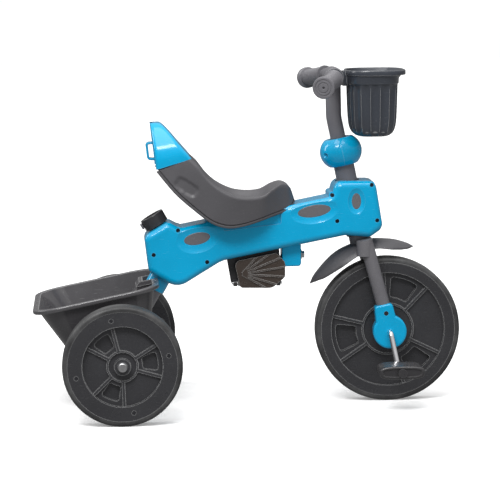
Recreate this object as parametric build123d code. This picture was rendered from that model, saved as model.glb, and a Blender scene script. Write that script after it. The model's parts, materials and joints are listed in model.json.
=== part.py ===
from build123d import *
from math import cos, sin, radians, sqrt
import os

os.makedirs("parts", exist_ok=True)

# Frame: +X forward, +Y left, +Z up, Z = 0 on the floor, origin under the middle of the tricycle.
# All sizes in millimetres.

# Wheels and axles
FRONT_R = 127.0
FRONT_X = 248.0
REAR_R = 101.6
REAR_X = -222.0
REAR_Y = 219.5
AXLE_R = 5.0
RUN_GAP = 0.07

# Steering axis, through the top of the fork crown
STEER_X = 201.0
STEER_Z = 284.0
STEER_TILT = 11.5
TILT_S = sin(radians(STEER_TILT))
TILT_C = cos(radians(STEER_TILT))
STEER = Plane(origin=(STEER_X, 0, STEER_Z), x_dir=(TILT_C, 0, TILT_S), z_dir=(-TILT_S, 0, TILT_C))
HEAD_LOW = 13.0
HEAD_HIGH = 104.0
STEM_R = 18.0
STEERER_R = 13.0
HEAD_TUBE_R = 21.0

# Body shell
SHELL_HALF = 45.0
WALL = 3.0
TOP_X = -84.0
TOP_Z = 320.0
TOP_SLOPE = 10.74
TOP_S = sin(radians(TOP_SLOPE))
TOP_C = cos(radians(TOP_SLOPE))

# Seat slide along the top of the beam
RAIL_NECK = 4.0
RAIL_HEAD = 4.0
SLIDE_GAP = 0.4

# Push handle socket
SOCKET_TILT = 30.0
SOCKET_R = 14.0
SOCKET_DEEP = 45.0

# Cranks
CRANK_R = 58.0
CRANK_LEAN = 10.0
ROD_R = 4.75
PEDAL_Y = 131.0
PEDAL_WIDE = 62.0


def cyl(radius, height):
    return Cylinder(radius, height, align=(Align.CENTER, Align.CENTER, Align.MIN))


def tube(outer, inner, height):
    return cyl(outer, height) - cyl(inner, height)


def bar(start, end, radius):
    run = Vector(*end) - Vector(*start)
    return extrude(Plane(origin=start, z_dir=run) * Circle(radius), amount=run.length)


def across(x, z, radius, y_from, y_to):
    return bar((x, y_from, z), (x, y_to, z), radius)


def swept(path, radius):
    return sweep(Plane(origin=path @ 0, z_dir=path % 0) * Circle(radius), path=path)


def outline(corners):
    points = [(x, z) for x, z, r in corners]
    radii = [r for x, z, r in corners]
    return make_face(FilletPolyline(*points, radius=radii, close=True))


def side_slab(face, y_from, y_to):
    return extrude(Plane.XZ.offset(-y_to) * face, amount=y_to - y_from)


def both_sides(shape):
    return [shape, mirror(shape, about=Plane.XZ)]


def joined(shapes):
    result = shapes[0]
    for shape in shapes[1:]:
        result = result + shape
    return result


def save(name, *shapes):
    solids = []
    for shape in shapes:
        solids.extend(shape.solids())
    if len(solids) == 1:
        item = solids[0]
    else:
        item = Compound(children=solids)
    item.label = name
    export_step(item, f"parts/{name}.step")


def top_point(along, above):
    return (TOP_X + along * TOP_C - above * TOP_S, TOP_Z + along * TOP_S + above * TOP_C)


def top_plane(along, above):
    x, z = top_point(along, above)
    return Plane(origin=(x, 0, z), x_dir=(TOP_C, 0, TOP_S), z_dir=(-TOP_S, 0, TOP_C))


# ---------------------------------------------------------------- body shell

SHELL_OUTLINE = [
    (156, 391, 15),
    (226, 391, 15),
    (239, 308, 16),
    (216, 292, 14),
    (172, 296, 14),
    (-44, 255, 62),
    (-122, 208, 32),
    (-172, 238, 16),
    (-179, 300, 15),
    (-137, 325, 13),
    (-116, 313.5, 16),
    (148, 364, 14),
]
BLOCK_OUTLINE = [(62, 241, 6), (96, 241, 6), (96, 300, 2), (62, 300, 2)]
BLOCK_HALF = 22.0
PANEL_HALF = 42.0
PANEL_OUTLINE = [(-40, 308, 3), (60, 319, 3), (60, 337, 3), (88, 352, 4), (84, 380, 2), (-56, 352, 2)]
SHELL_BOSSES = [(-120, 310), (-163, 268), (-70, 254), (158, 322), (150, 367), (219, 384), (228, 322)]
BOSS_R = 6.0
SCREW_R = 1.7
SCREW_HEAD_R = 3.6
SCREW_Y = 37.0
# Oval windows: x, z, length, width, angle of each, then the half sizes of the bowl round it
WINDOWS = [(-87, 295, 46, 21, TOP_SLOPE), (118, 340, 58, 21, 8), (192, 356, 28, 16, 90)]
BOWLS = [(37, 25), (42, 22), (23, 15)]
BOWL_DEEP = 4.2
BOWL_RIM = 0.8
INLAY_THICK = 2.4
INLAY_SUNK = 1.0
EDGE_ROUND = 11.0


def shell_slab(inset, half):
    body = outline(SHELL_OUTLINE)
    block = outline(BLOCK_OUTLINE)
    block_half = BLOCK_HALF
    if inset > 0:
        body = offset(body, amount=-inset)
        block = offset(block, amount=-inset)
        block_half = BLOCK_HALF - inset
    slab = side_slab(body, -half, half)
    return slab, side_slab(block, -block_half, block_half)


def shell_outer():
    slab, block = shell_slab(0, SHELL_HALF)
    rims = slab.faces().filter_by(Axis.Y).edges()
    slab = fillet(rims, EDGE_ROUND)
    block = fillet(block.faces().filter_by(Axis.Y).edges(), 3)
    return slab + block


def shell_inner():
    slab, block = shell_slab(WALL, SHELL_HALF - WALL)
    rims = slab.faces().filter_by(Axis.Y).edges()
    return fillet(rims, EDGE_ROUND - WALL) + block


def socket_plane(depth):
    lean_s = sin(radians(SOCKET_TILT))
    lean_c = cos(radians(SOCKET_TILT))
    mouth_x = -165.5
    mouth_z = 333.5
    return Plane(origin=(mouth_x + depth * lean_s, 0, mouth_z - depth * lean_c),
                 x_dir=(lean_c, 0, lean_s), z_dir=(-lean_s, 0, lean_c))


def tube_path():
    return FilletPolyline((181, 0, 347), (-119, 0, 280), (REAR_X, 0, REAR_R), radius=60)


def window_plate(window, y_from, y_to):
    x, z, length, width, angle = window
    return side_slab(Pos(x, z) * Rot(0, 0, angle) * Ellipse(length / 2, width / 2), y_from, y_to)


def window_bowl(window, bowl, grow):
    """Ellipsoid that meets the side face in the bowl's rim and reaches BOWL_DEEP into it."""
    x, z, length, width, angle = window
    half_long, half_wide = bowl
    high = BOWL_DEEP * BOWL_RIM / (1 - BOWL_RIM) * 0.5
    share = sqrt(1 - (high / (high + BOWL_DEEP)) ** 2)
    ball = scale(Sphere(1), by=(half_long / share + grow, high + BOWL_DEEP + grow, half_wide / share + grow))
    return Pos(x, -SHELL_HALF - high, z) * Rot(0, -angle, 0) * ball


def make_panel():
    body = outline(SHELL_OUTLINE)
    skin = side_slab(body, -PANEL_HALF, PANEL_HALF)
    skin = fillet(skin.faces().filter_by(Axis.Y).edges(), 6)
    hollow = side_slab(offset(body, amount=-WALL), -PANEL_HALF + WALL, PANEL_HALF - WALL)
    return skin - hollow


def make_shell():
    outer = shell_outer()
    inner = shell_inner()
    bosses = joined([across(x, z, BOSS_R, -SCREW_Y, SCREW_Y) for x, z in SHELL_BOSSES])
    shell = outer - inner + bosses
    shell = shell - STEER * Pos(0, 0, -30) * cyl(STEM_R + 3.5, 160)
    shell = shell - socket_plane(SOCKET_DEEP + WALL) * cyl(SOCKET_R + WALL, SOCKET_DEEP + WALL)
    shell = shell - swept(tube_path(), 15)
    zone = side_slab(outline(PANEL_OUTLINE), -60, 60)
    shell = shell - zone
    panel = make_panel() & zone
    skin = outer - zone
    for window, bowl in zip(WINDOWS, BOWLS):
        for pad in both_sides(window_bowl(window, bowl, WALL) & skin):
            shell = shell + pad
        seat = window_plate(window, -60, -SHELL_HALF + BOWL_DEEP + INLAY_SUNK)
        for cut in both_sides(window_bowl(window, bowl, 0)) + both_sides(seat):
            shell = shell - cut
    for x, z in SHELL_BOSSES:
        shell = shell - across(x, z, SCREW_R, -SCREW_Y - 1, 30)
        shell = shell - across(x, z, SCREW_HEAD_R, -60, -SCREW_Y + 3)
    bolt = bar((108, 0, 260), (60, 0, 260), 3)
    shell = shell - bolt
    cutter = side_slab(Rectangle(1200, 1200), 0, 100)
    left = shell & cutter
    right = shell - cutter
    largest_left = left.solids().sort_by(SortBy.VOLUME)[-1]
    largest_right = right.solids().sort_by(SortBy.VOLUME)[-1]
    return largest_left, largest_right, panel


def make_shell_screws():
    screws = []
    for x, z in SHELL_BOSSES:
        shank = across(x, z, SCREW_R, -SCREW_Y + 3, 24)
        head = across(x, z, SCREW_HEAD_R, -SCREW_Y, -SCREW_Y + 3)
        cross = side_slab(Pos(x, z) * (Rectangle(4, 0.9) + Rectangle(0.9, 4)), -SCREW_Y - 1, -SCREW_Y + 1.2)
        screws.append(shank + head - cross)
    return screws


def make_windows():
    inlays = []
    for window in WINDOWS:
        back = -SHELL_HALF + BOWL_DEEP + INLAY_SUNK
        plate = window_plate(window, back - INLAY_THICK, back)
        plate = fillet(plate.faces().sort_by(Axis.Y)[0].edges(), 0.9)
        inlays.extend(both_sides(plate))
    return inlays


def make_seat_rail(panel):
    start = 40.0
    length = 128.0
    neck = top_plane(start, -0.5) * Pos(length / 2, 0, 0) * Box(
        length, 20, RAIL_NECK + 0.5, align=(Align.CENTER, Align.CENTER, Align.MIN))
    head = top_plane(start, RAIL_NECK) * Pos(length / 2, 0, 0) * Box(
        length, 34, RAIL_HEAD, align=(Align.CENTER, Align.CENTER, Align.MIN))
    rail = panel + neck + head
    for step in range(9):
        notch = top_plane(start + 16 + step * 12, RAIL_NECK + RAIL_HEAD - 2) * Box(
            4, 10, 8, align=(Align.CENTER, Align.CENTER, Align.MIN))
        rail = rail - notch
    return rail


def make_block_bolt():
    shank = bar((99, 0, 260), (66, 0, 260), 3)
    washer = bar((98, 0, 260), (96, 0, 260), 9)
    head = bar((103, 0, 260), (98, 0, 260), 6)
    return shank + washer + head


# ---------------------------------------------------------------- frame steel

def make_main_tube():
    path = tube_path()
    pipe = swept(path, 15) - swept(path, 12.5)
    pipe = pipe - STEER * Pos(0, 0, -60) * cyl(HEAD_TUBE_R, 300)
    pipe = pipe - across(REAR_X, REAR_R, 13, -200, 200)
    return pipe.solids().sort_by(SortBy.VOLUME)[-1]


def make_head_tube():
    return STEER * Pos(0, 0, HEAD_LOW) * tube(HEAD_TUBE_R, HEAD_TUBE_R - 3, HEAD_HIGH - HEAD_LOW)


def make_head_bushes():
    sleeve = tube(HEAD_TUBE_R - 3, STEERER_R + RUN_GAP, 16)
    flange = tube(HEAD_TUBE_R, STEERER_R + RUN_GAP, 2.5)
    lower = Pos(0, 0, HEAD_LOW) * sleeve + Pos(0, 0, HEAD_LOW - 2.5) * flange
    upper = Pos(0, 0, HEAD_HIGH - 16) * sleeve + Pos(0, 0, HEAD_HIGH) * flange
    return [STEER * lower, STEER * upper]


def make_axle_carrier():
    carrier = across(REAR_X, REAR_R, 13, -186, 186)
    return carrier - across(REAR_X, REAR_R, AXLE_R, -186, 186)


def make_rear_axle():
    rod = across(REAR_X, REAR_R, AXLE_R, -246, 246)
    return chamfer(rod.edges(), 0.8)


def make_axle_nuts():
    nut = across(REAR_X, REAR_R, 8, -251, -244.4)
    nut = fillet(nut.faces().sort_by(Axis.Y)[0].edges(), 2.5)
    nut = nut - across(REAR_X, REAR_R, AXLE_R, -246, -240)
    return both_sides(nut)


def make_axle_spacers():
    spacer = across(REAR_X, REAR_R, 10, -193.4, -186) - across(REAR_X, REAR_R, AXLE_R, -194, -186)
    return both_sides(spacer)


# ---------------------------------------------------------------- handle socket and tail

def make_handle_socket():
    collar = socket_plane(20) * cyl(21.5, 20)
    collar = fillet(collar.faces().sort_by(Axis.Z)[-1].edges(), 1.5)
    cup = socket_plane(SOCKET_DEEP + WALL) * cyl(SOCKET_R + WALL, SOCKET_DEEP + WALL - 1)
    bore = socket_plane(SOCKET_DEEP) * cyl(SOCKET_R, SOCKET_DEEP + 5)
    return collar + cup - bore


def make_socket_clip():
    clip = socket_plane(14) * Pos(-23.5, 0, 0) * Box(4, 12, 10, align=(Align.CENTER, Align.CENTER, Align.MIN))
    return fillet(clip.edges(), 1.2)


def make_tail_sleeve():
    lower = bar((-146.1, 0, 233), (-162.8, 0, 204), 19)
    upper = bar((-140.3, 0, 243), (-148.4, 0, 229), 22)
    sleeve = lower + upper
    sleeve = sleeve - swept(tube_path(), 15)
    slab, block = shell_slab(0, SHELL_HALF)
    sleeve = sleeve - slab
    return sleeve.solids().sort_by(SortBy.VOLUME)[-1]


# ---------------------------------------------------------------- foot rest

HINGE_Y = 19.0
HINGE_Z = 213.0
HINGE_PIN_R = 2.5
PIN_PROUD = 1.5
LUG_R = 5.5
LUG_LONG = 6.0
RIB_FIRST = -30.0
RIB_PITCH = 13.0
FLAP_BACK = -24.0
FLAP_FRONT = 60.0


def hinge_line(side, extra, radius):
    y = side * HINGE_Y
    return bar((FLAP_BACK - extra, y, HINGE_Z), (FLAP_FRONT + extra, y, HINGE_Z), radius)


def make_footrest_bracket():
    keel = side_slab(outline([(-34, 256.7, 1), (-26, 208, 8), (62, 208, 8), (58, 274.2, 1)]), -9, 9)
    window = side_slab(outline([(-14, 250, 6), (-10, 224, 6), (46, 224, 6), (44, 258, 6)]), -20, 20)
    bracket = keel - window
    for x in (FLAP_BACK + 1, FLAP_FRONT - 1 - LUG_LONG):
        for side in (-1, 1):
            arm = Pos(x, side * HINGE_Y / 2, HINGE_Z) * Box(
                LUG_LONG, HINGE_Y, 2 * LUG_R, align=(Align.MIN, Align.CENTER, Align.CENTER))
            eye = bar((x, side * HINGE_Y, HINGE_Z), (x + LUG_LONG, side * HINGE_Y, HINGE_Z), LUG_R)
            bracket = bracket + arm + eye
    for side in (-1, 1):
        bracket = bracket - hinge_line(side, 0, HINGE_PIN_R)
    slab, block = shell_slab(0, SHELL_HALF)
    return bracket - slab


def make_footrest_pins():
    pins = []
    for side in (-1, 1):
        pins.append(hinge_line(side, PIN_PROUD, HINGE_PIN_R))
    return pins


def make_footrest_right():
    face = outline([(-12, 206, 6), (-22, 252.5, 10), (52, 266.5, 10),
                    (67, 250, 10), (67, 224, 10), (44, 205, 16)])
    plate = side_slab(face, -32, -26)
    for step in range(7):
        spoke = Pos(-10, 230) * Rot(0, 0, RIB_FIRST + step * RIB_PITCH) * Pos(44, 0) * Rectangle(84, 2.6)
        rib = side_slab(spoke, -34, -32)
        plate = plate + (rib & side_slab(face, -40, -20))
    knuckle = bar((-15, -HINGE_Y, HINGE_Z), (50, -HINGE_Y, HINGE_Z), 5.2)
    link = Pos(-12, -25, HINGE_Z) * Box(60, 12, 6, align=(Align.MIN, Align.CENTER, Align.CENTER))
    flap = plate + knuckle + link
    return flap - bar((-40, -HINGE_Y, HINGE_Z), (80, -HINGE_Y, HINGE_Z), HINGE_PIN_R + RUN_GAP)


# ---------------------------------------------------------------- rear bucket

RIM_SLOPE = 11.3
RIM_X = -265.0
RIM_Z = 204.0
TUB_FLOOR = 116.0
NOTCH_HALF = 30.0


def rim_plane(above):
    s = sin(radians(RIM_SLOPE))
    c = cos(radians(RIM_SLOPE))
    return Plane(origin=(RIM_X - above * s, 0, RIM_Z + above * c), x_dir=(c, 0, s), z_dir=(-s, 0, c))


def tub_solid(inset, floor):
    top = rim_plane(0) * RectangleRounded(206 - 2 * inset, 292 - 2 * inset, 44 - inset)
    base = Plane(origin=(-246, 0, floor)) * RectangleRounded(144 - 2 * inset, 246 - 2 * inset, 34 - inset)
    return loft([base, top])


def notch_prism(extra):
    half_angle = radians(30)
    back = 25 + extra
    shift_x = -back * cos(half_angle)
    shift_z = back * sin(half_angle)
    face = make_face(Polyline((-90 + shift_x, 332 + shift_z), (-240 + shift_x, 72.2 + shift_z),
                              (-100, 60), (0, 300), close=True))
    return side_slab(face, -NOTCH_HALF - extra, NOTCH_HALF + extra)


def make_rear_bucket():
    outer = tub_solid(0, TUB_FLOOR) - notch_prism(0)
    inner = tub_solid(3, TUB_FLOOR + 3) - notch_prism(3)
    tub = outer - inner
    ring = extrude(RectangleRounded(222, 304, 50) - RectangleRounded(200, 286, 41), 8)
    ring = fillet(ring.faces().filter_by(Axis.Z).edges(), 3)
    lip = rim_plane(-7) * ring - notch_prism(0)
    bucket = tub + lip
    flange = rim_plane(-7) * extrude(RectangleRounded(206, 292, 44), 8) & (notch_prism(5) - notch_prism(0))
    bucket = bucket + flange
    return bucket.solids().sort_by(SortBy.VOLUME)[-1]


def make_bucket_clips():
    clip = across(REAR_X, REAR_R, 16, -96, -76) - across(REAR_X, REAR_R, 13, -97, -75)
    pad = Pos(REAR_X, -86, TUB_FLOOR) * Box(44, 20, 5, align=(Align.CENTER, Align.CENTER, Align.MAX))
    pad = pad - across(REAR_X, REAR_R, 13, -97, -75)
    above = Pos(REAR_X, -86, TUB_FLOOR) * Box(60, 30, 20, align=(Align.CENTER, Align.CENTER, Align.MIN))
    return both_sides(clip + pad - above)


# ---------------------------------------------------------------- seat

def make_seat_shell():
    side = outline([(60, 388, 9), (85, 363, 8), (77, 343, 8), (-32, 314, 14), (-64, 324, 14), (-98, 351, 12),
                    (-152, 404, 6), (-157, 420, 3), (-96, 437, 6),
                    (-66, 402, 30), (-36, 376, 34), (24, 366, 30)])
    plan = outline([(90, 0, 1), (90, 44, 26), (28, 80, 40), (-60, 84, 40), (-160, 68, 14), (-160, 0, 1)])
    plan_half = extrude(plan, 300).moved(Location((0, 0, 250)))
    plan_full = plan_half + mirror(plan_half, about=Plane.XZ)
    seat = side_slab(side, -90, 90) & plan_full
    scoop = outline([(34, 400, 1), (28, 366, 14), (8, 354, 40), (-26, 353, 50), (-64, 374, 40),
                     (-112, 436, 5), (-100, 460, 1)])
    seat = seat - side_slab(scoop, -67, 67)
    low = top_point(0, RAIL_NECK + RAIL_HEAD + 4.0)
    far = top_point(240, RAIL_NECK + RAIL_HEAD + 4.0)
    tunnel = make_face(Polyline(low, far, (260, 200), (-84, 200), close=True))
    seat = seat - side_slab(tunnel, -49, 49)
    skirt = outline([(64, 352, 4), (60, 330, 4), (-32, 300, 4), (-60, 318, 4), (-88, 344, 4),
                     (-60, 362, 8), (-20, 346, 30), (20, 348, 20)])
    for pocket in both_sides(side_slab(skirt, -74, -52)):
        seat = seat - pocket
    return seat.solids().sort_by(SortBy.VOLUME)[-1]


BACK_SIDE = [(-157, 420, 3), (-166, 497, 4), (-146, 497, 8), (-126, 474, 12), (-97, 437, 4)]


def make_seat_back():
    arch = Plane.YZ.offset(-200) * outline([(-66, 400, 4), (-66, 448, 20), (-26, 497, 22), (26, 497, 22),
                                           (66, 448, 20), (66, 400, 4)])
    return side_slab(outline(BACK_SIDE), -80, 80) & extrude(arch, 140)


def make_seat_loop():
    path = FilletPolyline((-156, 0, 432), (-169, 0, 433), (-172, 0, 460), (-159, 0, 461), radius=4)
    loop = sweep(Plane(origin=path @ 0, z_dir=path % 0) * RectangleRounded(4, 22, 1.5), path=path)
    return (loop - side_slab(outline(BACK_SIDE), -80, 80)).solids().sort_by(SortBy.VOLUME)[-1]


SHOE_START = 108.0
SHOE_LONG = 54.0


def make_seat_slider():
    low = RAIL_NECK - 3.0
    top = RAIL_NECK + RAIL_HEAD + 4.0
    shoe = top_plane(SHOE_START, low - 0.4) * Box(
        SHOE_LONG, 46, top - low + 0.4, align=(Align.MIN, Align.CENTER, Align.MIN))
    head = top_plane(SHOE_START - 5, RAIL_NECK - SLIDE_GAP) * Box(
        SHOE_LONG + 10, 34 + 2 * SLIDE_GAP, RAIL_HEAD + 2 * SLIDE_GAP,
        align=(Align.MIN, Align.CENTER, Align.MIN))
    neck = top_plane(SHOE_START - 5, -5) * Box(
        SHOE_LONG + 10, 20 + 2 * SLIDE_GAP, 12, align=(Align.MIN, Align.CENTER, Align.MIN))
    return shoe - head - neck


# ---------------------------------------------------------------- steering column

COLLAR_Z = 160.0
COLLAR_TALL = 49.0
COLLAR_R = 37.0
COLLAR_END_R = 24.0
BAR_R = 11.0
BAR_X = 156.0
BAR_Z = 572.0


def make_steerer():
    return STEER * Pos(0, 0, -3) * tube(STEERER_R, STEERER_R - 2.5, COLLAR_Z + 18)


SLEEVE_CLEAR = 2.9


def make_stem_sleeve():
    foot = HEAD_HIGH + SLEEVE_CLEAR
    return STEER * Pos(0, 0, foot) * tube(STEM_R, STEERER_R, COLLAR_Z - COLLAR_TALL / 2 - foot)


def collar_solid():
    mid = COLLAR_TALL / 2
    face = make_face(Line((0, -mid), (COLLAR_END_R, -mid))
                     + ThreePointArc((COLLAR_END_R, -mid), (COLLAR_R, 0), (COLLAR_END_R, mid))
                     + Line((COLLAR_END_R, mid), (0, mid)) + Line((0, mid), (0, -mid)))
    barrel = revolve(Plane.XZ * face, axis=Axis.Z)
    ends = barrel.faces().filter_by(GeomType.PLANE).edges()
    return fillet(ends, 5)


def make_collar():
    body = collar_solid() - Pos(0, 0, -40) * cyl(STEERER_R, 80) - Pos(0, 0, 18 - 3) * cyl(STEM_R - 2, 40)
    for side in (-1, 1):
        body = body - Pos(-45, side * 22, 0) * Rot(0, 90, 0) * cyl(2.2, 90)
        body = body - Pos(-45, side * 22, 0) * Rot(0, 90, 0) * cyl(4.5, 27)
    front = body & Pos(50, 0, 0) * Box(100, 100, 100)
    rear = body & Pos(-50, 0, 0) * Box(100, 100, 100)
    place = STEER * Pos(0, 0, COLLAR_Z)
    bolts = []
    for side in (-1, 1):
        bolt = Pos(-18, side * 22, 0) * Rot(0, 90, 0) * cyl(2.2, 36)
        head = Pos(-22, side * 22, 0) * Rot(0, 90, 0) * cyl(4.5, 4)
        bolts.append(place * (bolt + head))
    return place * front, place * rear, bolts


def stem_path():
    foot = STEER.from_local_coords((0, 0, COLLAR_Z + 15.3))
    bend = STEER.from_local_coords((0, 0, 222))
    return FilletPolyline(foot, bend, (BAR_X, 0, BAR_Z), radius=60)


def make_bar_stem():
    path = stem_path()
    post = swept(path, 13.5)
    saddle = across(BAR_X, BAR_Z, BAR_R + 6, -27, 27)
    saddle = fillet(saddle.edges(), 3)
    stem = post + saddle - across(BAR_X, BAR_Z, BAR_R, -60, 60)
    front = Plane(origin=(BAR_X, 0, BAR_Z)) * Box(60, 80, 60, align=(Align.MIN, Align.CENTER, Align.CENTER))
    cap = (saddle - across(BAR_X, BAR_Z, BAR_R, -60, 60)) & front
    stem = (post - across(BAR_X, BAR_Z, BAR_R + 6, -60, 60)) + (stem - front)
    stem = stem - cap
    return stem.solids().sort_by(SortBy.VOLUME)[-1], cap.solids().sort_by(SortBy.VOLUME)[-1]


GRIP_IN = (150.0, 90.0, 571.5)
GRIP_OUT = (125.0, 182.0, 562.0)


def make_handlebar():
    xo, yo, zo = GRIP_OUT
    xi, yi, zi = GRIP_IN
    back = 8.0 / (yo - yi)
    xb = xi + (xi - xo) * back
    yb = yi - 8.0
    zb = zi + (zi - zo) * back
    path = FilletPolyline((xo, -yo, zo), (xb, -yb, zb), (BAR_X, -56, BAR_Z),
                          (BAR_X, 56, BAR_Z), (xb, yb, zb), (xo, yo, zo), radius=40)
    return swept(path, BAR_R) - swept(path, BAR_R - 2)


def make_grip():
    xo, yo, zo = GRIP_OUT
    xi, yi, zi = GRIP_IN
    run = Vector(xo - xi, -(yo - yi), zo - zi)
    base = Plane(origin=(xi, -yi, zi), z_dir=run)
    long = run.length
    grip = cyl(14, long)
    grip = grip + cyl(16.5, 4) + Pos(0, 0, long - 5) * cyl(19, 9)
    for step in range(8):
        grip = grip + Pos(0, 0, 12 + step * 9.5) * cyl(14.8, 3)
    grip = fillet(grip.edges().sort_by(Axis.Z)[-1], 2)
    return base * (grip - cyl(BAR_R, long))


def cup_solid(inset, low, high):
    plan = Pos(224, 0) * RectangleRounded(87 - 2 * inset, 136 - 2 * inset, 34 - inset)
    body = extrude(Plane(origin=(0, 0, high)) * plan, amount=-(high - low), taper=3)
    return fillet(body.faces().sort_by(Axis.Z)[0].edges(), 16 - inset)


def make_basket():
    cup = cup_solid(0, 468, 576) - cup_solid(2.6, 470.6, 580)
    band = extrude(Plane(origin=(0, 0, 560)) * Pos(224, 0) * RectangleRounded(92, 141, 36), 17)
    lip = extrude(Plane(origin=(0, 0, 577)) * Pos(229, 0) * RectangleRounded(105, 150, 40), 7)
    basket = cup + band + lip - cup_solid(2.6, 470.6, 600)
    hooks = Box(9, 30, 26)
    return basket + Pos(176.5, 0, BAR_Z - 2) * (hooks - Pos(-3, 0, 0) * Box(9, 30, 26))


def make_basket_hook():
    grip = across(BAR_X, BAR_Z, BAR_R + 4, -44, -30) - across(BAR_X, BAR_Z, BAR_R, -60, 0)
    arm = Pos(BAR_X + BAR_R, -37, BAR_Z - 16) * Box(
        11.5, 14, 10, align=(Align.MIN, Align.CENTER, Align.CENTER))
    hook = grip + (arm - across(BAR_X, BAR_Z, BAR_R, -60, 0))
    band = extrude(Plane(origin=(0, 0, 500)) * Pos(224, 0) * RectangleRounded(92, 141, 36), 100)
    return both_sides((hook - band).solids().sort_by(SortBy.VOLUME)[-1])


# ---------------------------------------------------------------- fork, mudguard, hub covers

LEG_Y = 45.0
LEG_R = 12.0
LEG_TOP = (208.5, 282.0)
LEG_FOOT = (243.6, 151.0)
GUARD_R = 161.0
GUARD_BACK = 59.0
GUARD_FRONT = 19.0


def make_fork_crown():
    neck = STEER * Pos(0, 0, -8) * cyl(STEM_R, HEAD_LOW + 5)
    bridge = Pos(206, 0, 276) * extrude(RectangleRounded(27, 118, 13), 30, both=True)
    bridge = bridge & (Pos(206, 0, 275) * Box(60, 130, 30))
    bridge = bridge - STEER * Pos(0, 0, 3.5) * Box(
        300, 300, 60, align=(Align.CENTER, Align.CENTER, Align.MIN))
    arch = across(FRONT_X, FRONT_R, GUARD_R, -32.6, 32.6)
    crown = bridge + neck - arch
    crown = crown - STEER * Pos(0, 0, -3) * cyl(STEERER_R, 80)
    for leg in both_sides(make_leg_right()):
        crown = crown - leg
    return crown.solids().sort_by(SortBy.VOLUME)[-1]


def make_leg_right():
    top_x, top_z = LEG_TOP
    foot_x, foot_z = LEG_FOOT
    return bar((foot_x, -LEG_Y, foot_z), (top_x, -LEG_Y, top_z), LEG_R)


def make_mudguard():
    half = 31.0
    band = ThreePointArc((-half, 142), (0, GUARD_R), (half, 142))
    inner = ThreePointArc((-half, 139), (0, GUARD_R - 3), (half, 139))
    face = make_face(band + Line((half, 142), (half, 139)) + inner + Line((-half, 139), (-half, 142)))
    section = Plane(origin=(0, 0, 0), x_dir=(0, 1, 0), z_dir=(1, 0, 0)) * face
    turn = revolve(section, axis=Axis.Y, revolution_arc=GUARD_BACK + GUARD_FRONT)
    guard = Pos(FRONT_X, 0, FRONT_R) * Rot(0, -GUARD_BACK, 0) * turn
    tips = outline([(FRONT_X - 142, 0, 1), (FRONT_X - 128, 34, 14),
                    (FRONT_X + 30, 34, 20), (FRONT_X + 56, 0, 1)])
    leaf = extrude(tips, 600)
    guard = guard & (leaf + mirror(leaf, about=Plane.XZ))
    return guard - STEER * Pos(0, 0, -40) * cyl(STEERER_R, 60)


def make_hub_cover_right():
    disc = Pos(FRONT_X, FRONT_R) * Circle(29.5)
    neck = outline([(221, 172, 6), (252, 178, 6), (262, 140, 8), (224, 136, 8)])
    cover = side_slab(disc + neck, -60, -35.5)
    cover = fillet(cover.faces().sort_by(Axis.Y)[0].edges(), 4)
    cover = cover - make_leg_right()
    cover = cover - across(FRONT_X, FRONT_R, ROD_R + RUN_GAP, -70, -30)
    return cover - across(LEG_FOOT[0] - 2.4, 160, 4, -70, -56.5)


def make_hub_cover_screws():
    screw = across(LEG_FOOT[0] - 2.4, 160, 4, -59.5, -57.2)
    return both_sides(screw)


# ---------------------------------------------------------------- wheels

def sector(inner, outer, half_angle):
    reach = outer * 1.4
    across_x = reach * cos(radians(half_angle))
    across_y = reach * sin(radians(half_angle))
    wedge = make_face(Polyline((0, 0), (across_x, -across_y), (across_x, across_y), close=True))
    ring = (Circle(outer) - Circle(inner)) & wedge
    return fillet(ring.vertices(), 5)


def wheel_half(seat_r, lip_r, half, web, hub_r, hub_long, bore, pocket_in, pocket_out, spread, first):
    rim = tube(seat_r, seat_r - 4, half)
    lip = Pos(0, 0, half - 4) * tube(seat_r, lip_r, 4)
    lip = lip + Pos(0, 0, web) * tube(lip_r + 3, lip_r, half - web)
    plate = Pos(0, 0, web) * cyl(lip_r + 2, 3)
    ring = Pos(0, 0, web) * tube(hub_r + 3, hub_r, 7)
    boss = cyl(AXLE_R + 9, hub_long)
    wheel = rim + lip + plate + ring + boss
    for step in range(3):
        turn = first + step * 120
        for side in (-1, 1):
            rib = Rot(0, 0, turn + side * spread) * Pos((hub_r + lip_r) / 2, 0, web + 2) * Box(
                lip_r - hub_r, 5, 5, align=(Align.CENTER, Align.CENTER, Align.MIN))
            wheel = wheel + rib
        cup_face = sector(pocket_in - 2, pocket_out + 2, spread * 0.72)
        cup = Rot(0, 0, turn) * Pos(0, 0, 3) * extrude(cup_face, web - 2)
        hole = Rot(0, 0, turn) * Pos(0, 0, 5) * extrude(sector(pocket_in, pocket_out, spread * 0.66), 40)
        wheel = wheel + cup - hole
    return wheel - cyl(bore, hub_long + 1)


def tyre(outer, inner, half, corner):
    mid = (outer + inner) / 2
    thick = outer - inner
    section = Pos(mid, 0) * Rectangle(thick, 2 * half)
    ring = revolve(Plane.XZ * section, axis=Axis.Z)
    circles = ring.edges().filter_by(GeomType.CIRCLE)
    rims = circles.filter_by(lambda e: e.radius > outer - 0.1)
    return fillet(rims, corner)


NEAR = Plane(origin=(0, 0, 0), x_dir=(1, 0, 0), z_dir=(0, -1, 0))


def front_place(shape):
    return Pos(FRONT_X, 0, FRONT_R) * (NEAR * shape)


def rear_place(shape):
    return Pos(REAR_X, -REAR_Y, REAR_R) * (NEAR * shape)


def make_rear_half():
    half = wheel_half(93, 68, 22, 9, 24, 24, 8, 34, 60, 24, 8)
    for step in range(4):
        hole = Rot(0, 0, 13 + step * 90) * Pos(80, 0, 0)
        half = half + hole * cyl(6, 22) - hole * cyl(1.7, 30) - hole * Pos(0, 0, 20.5) * cyl(3.6, 5)
    return half


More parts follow.
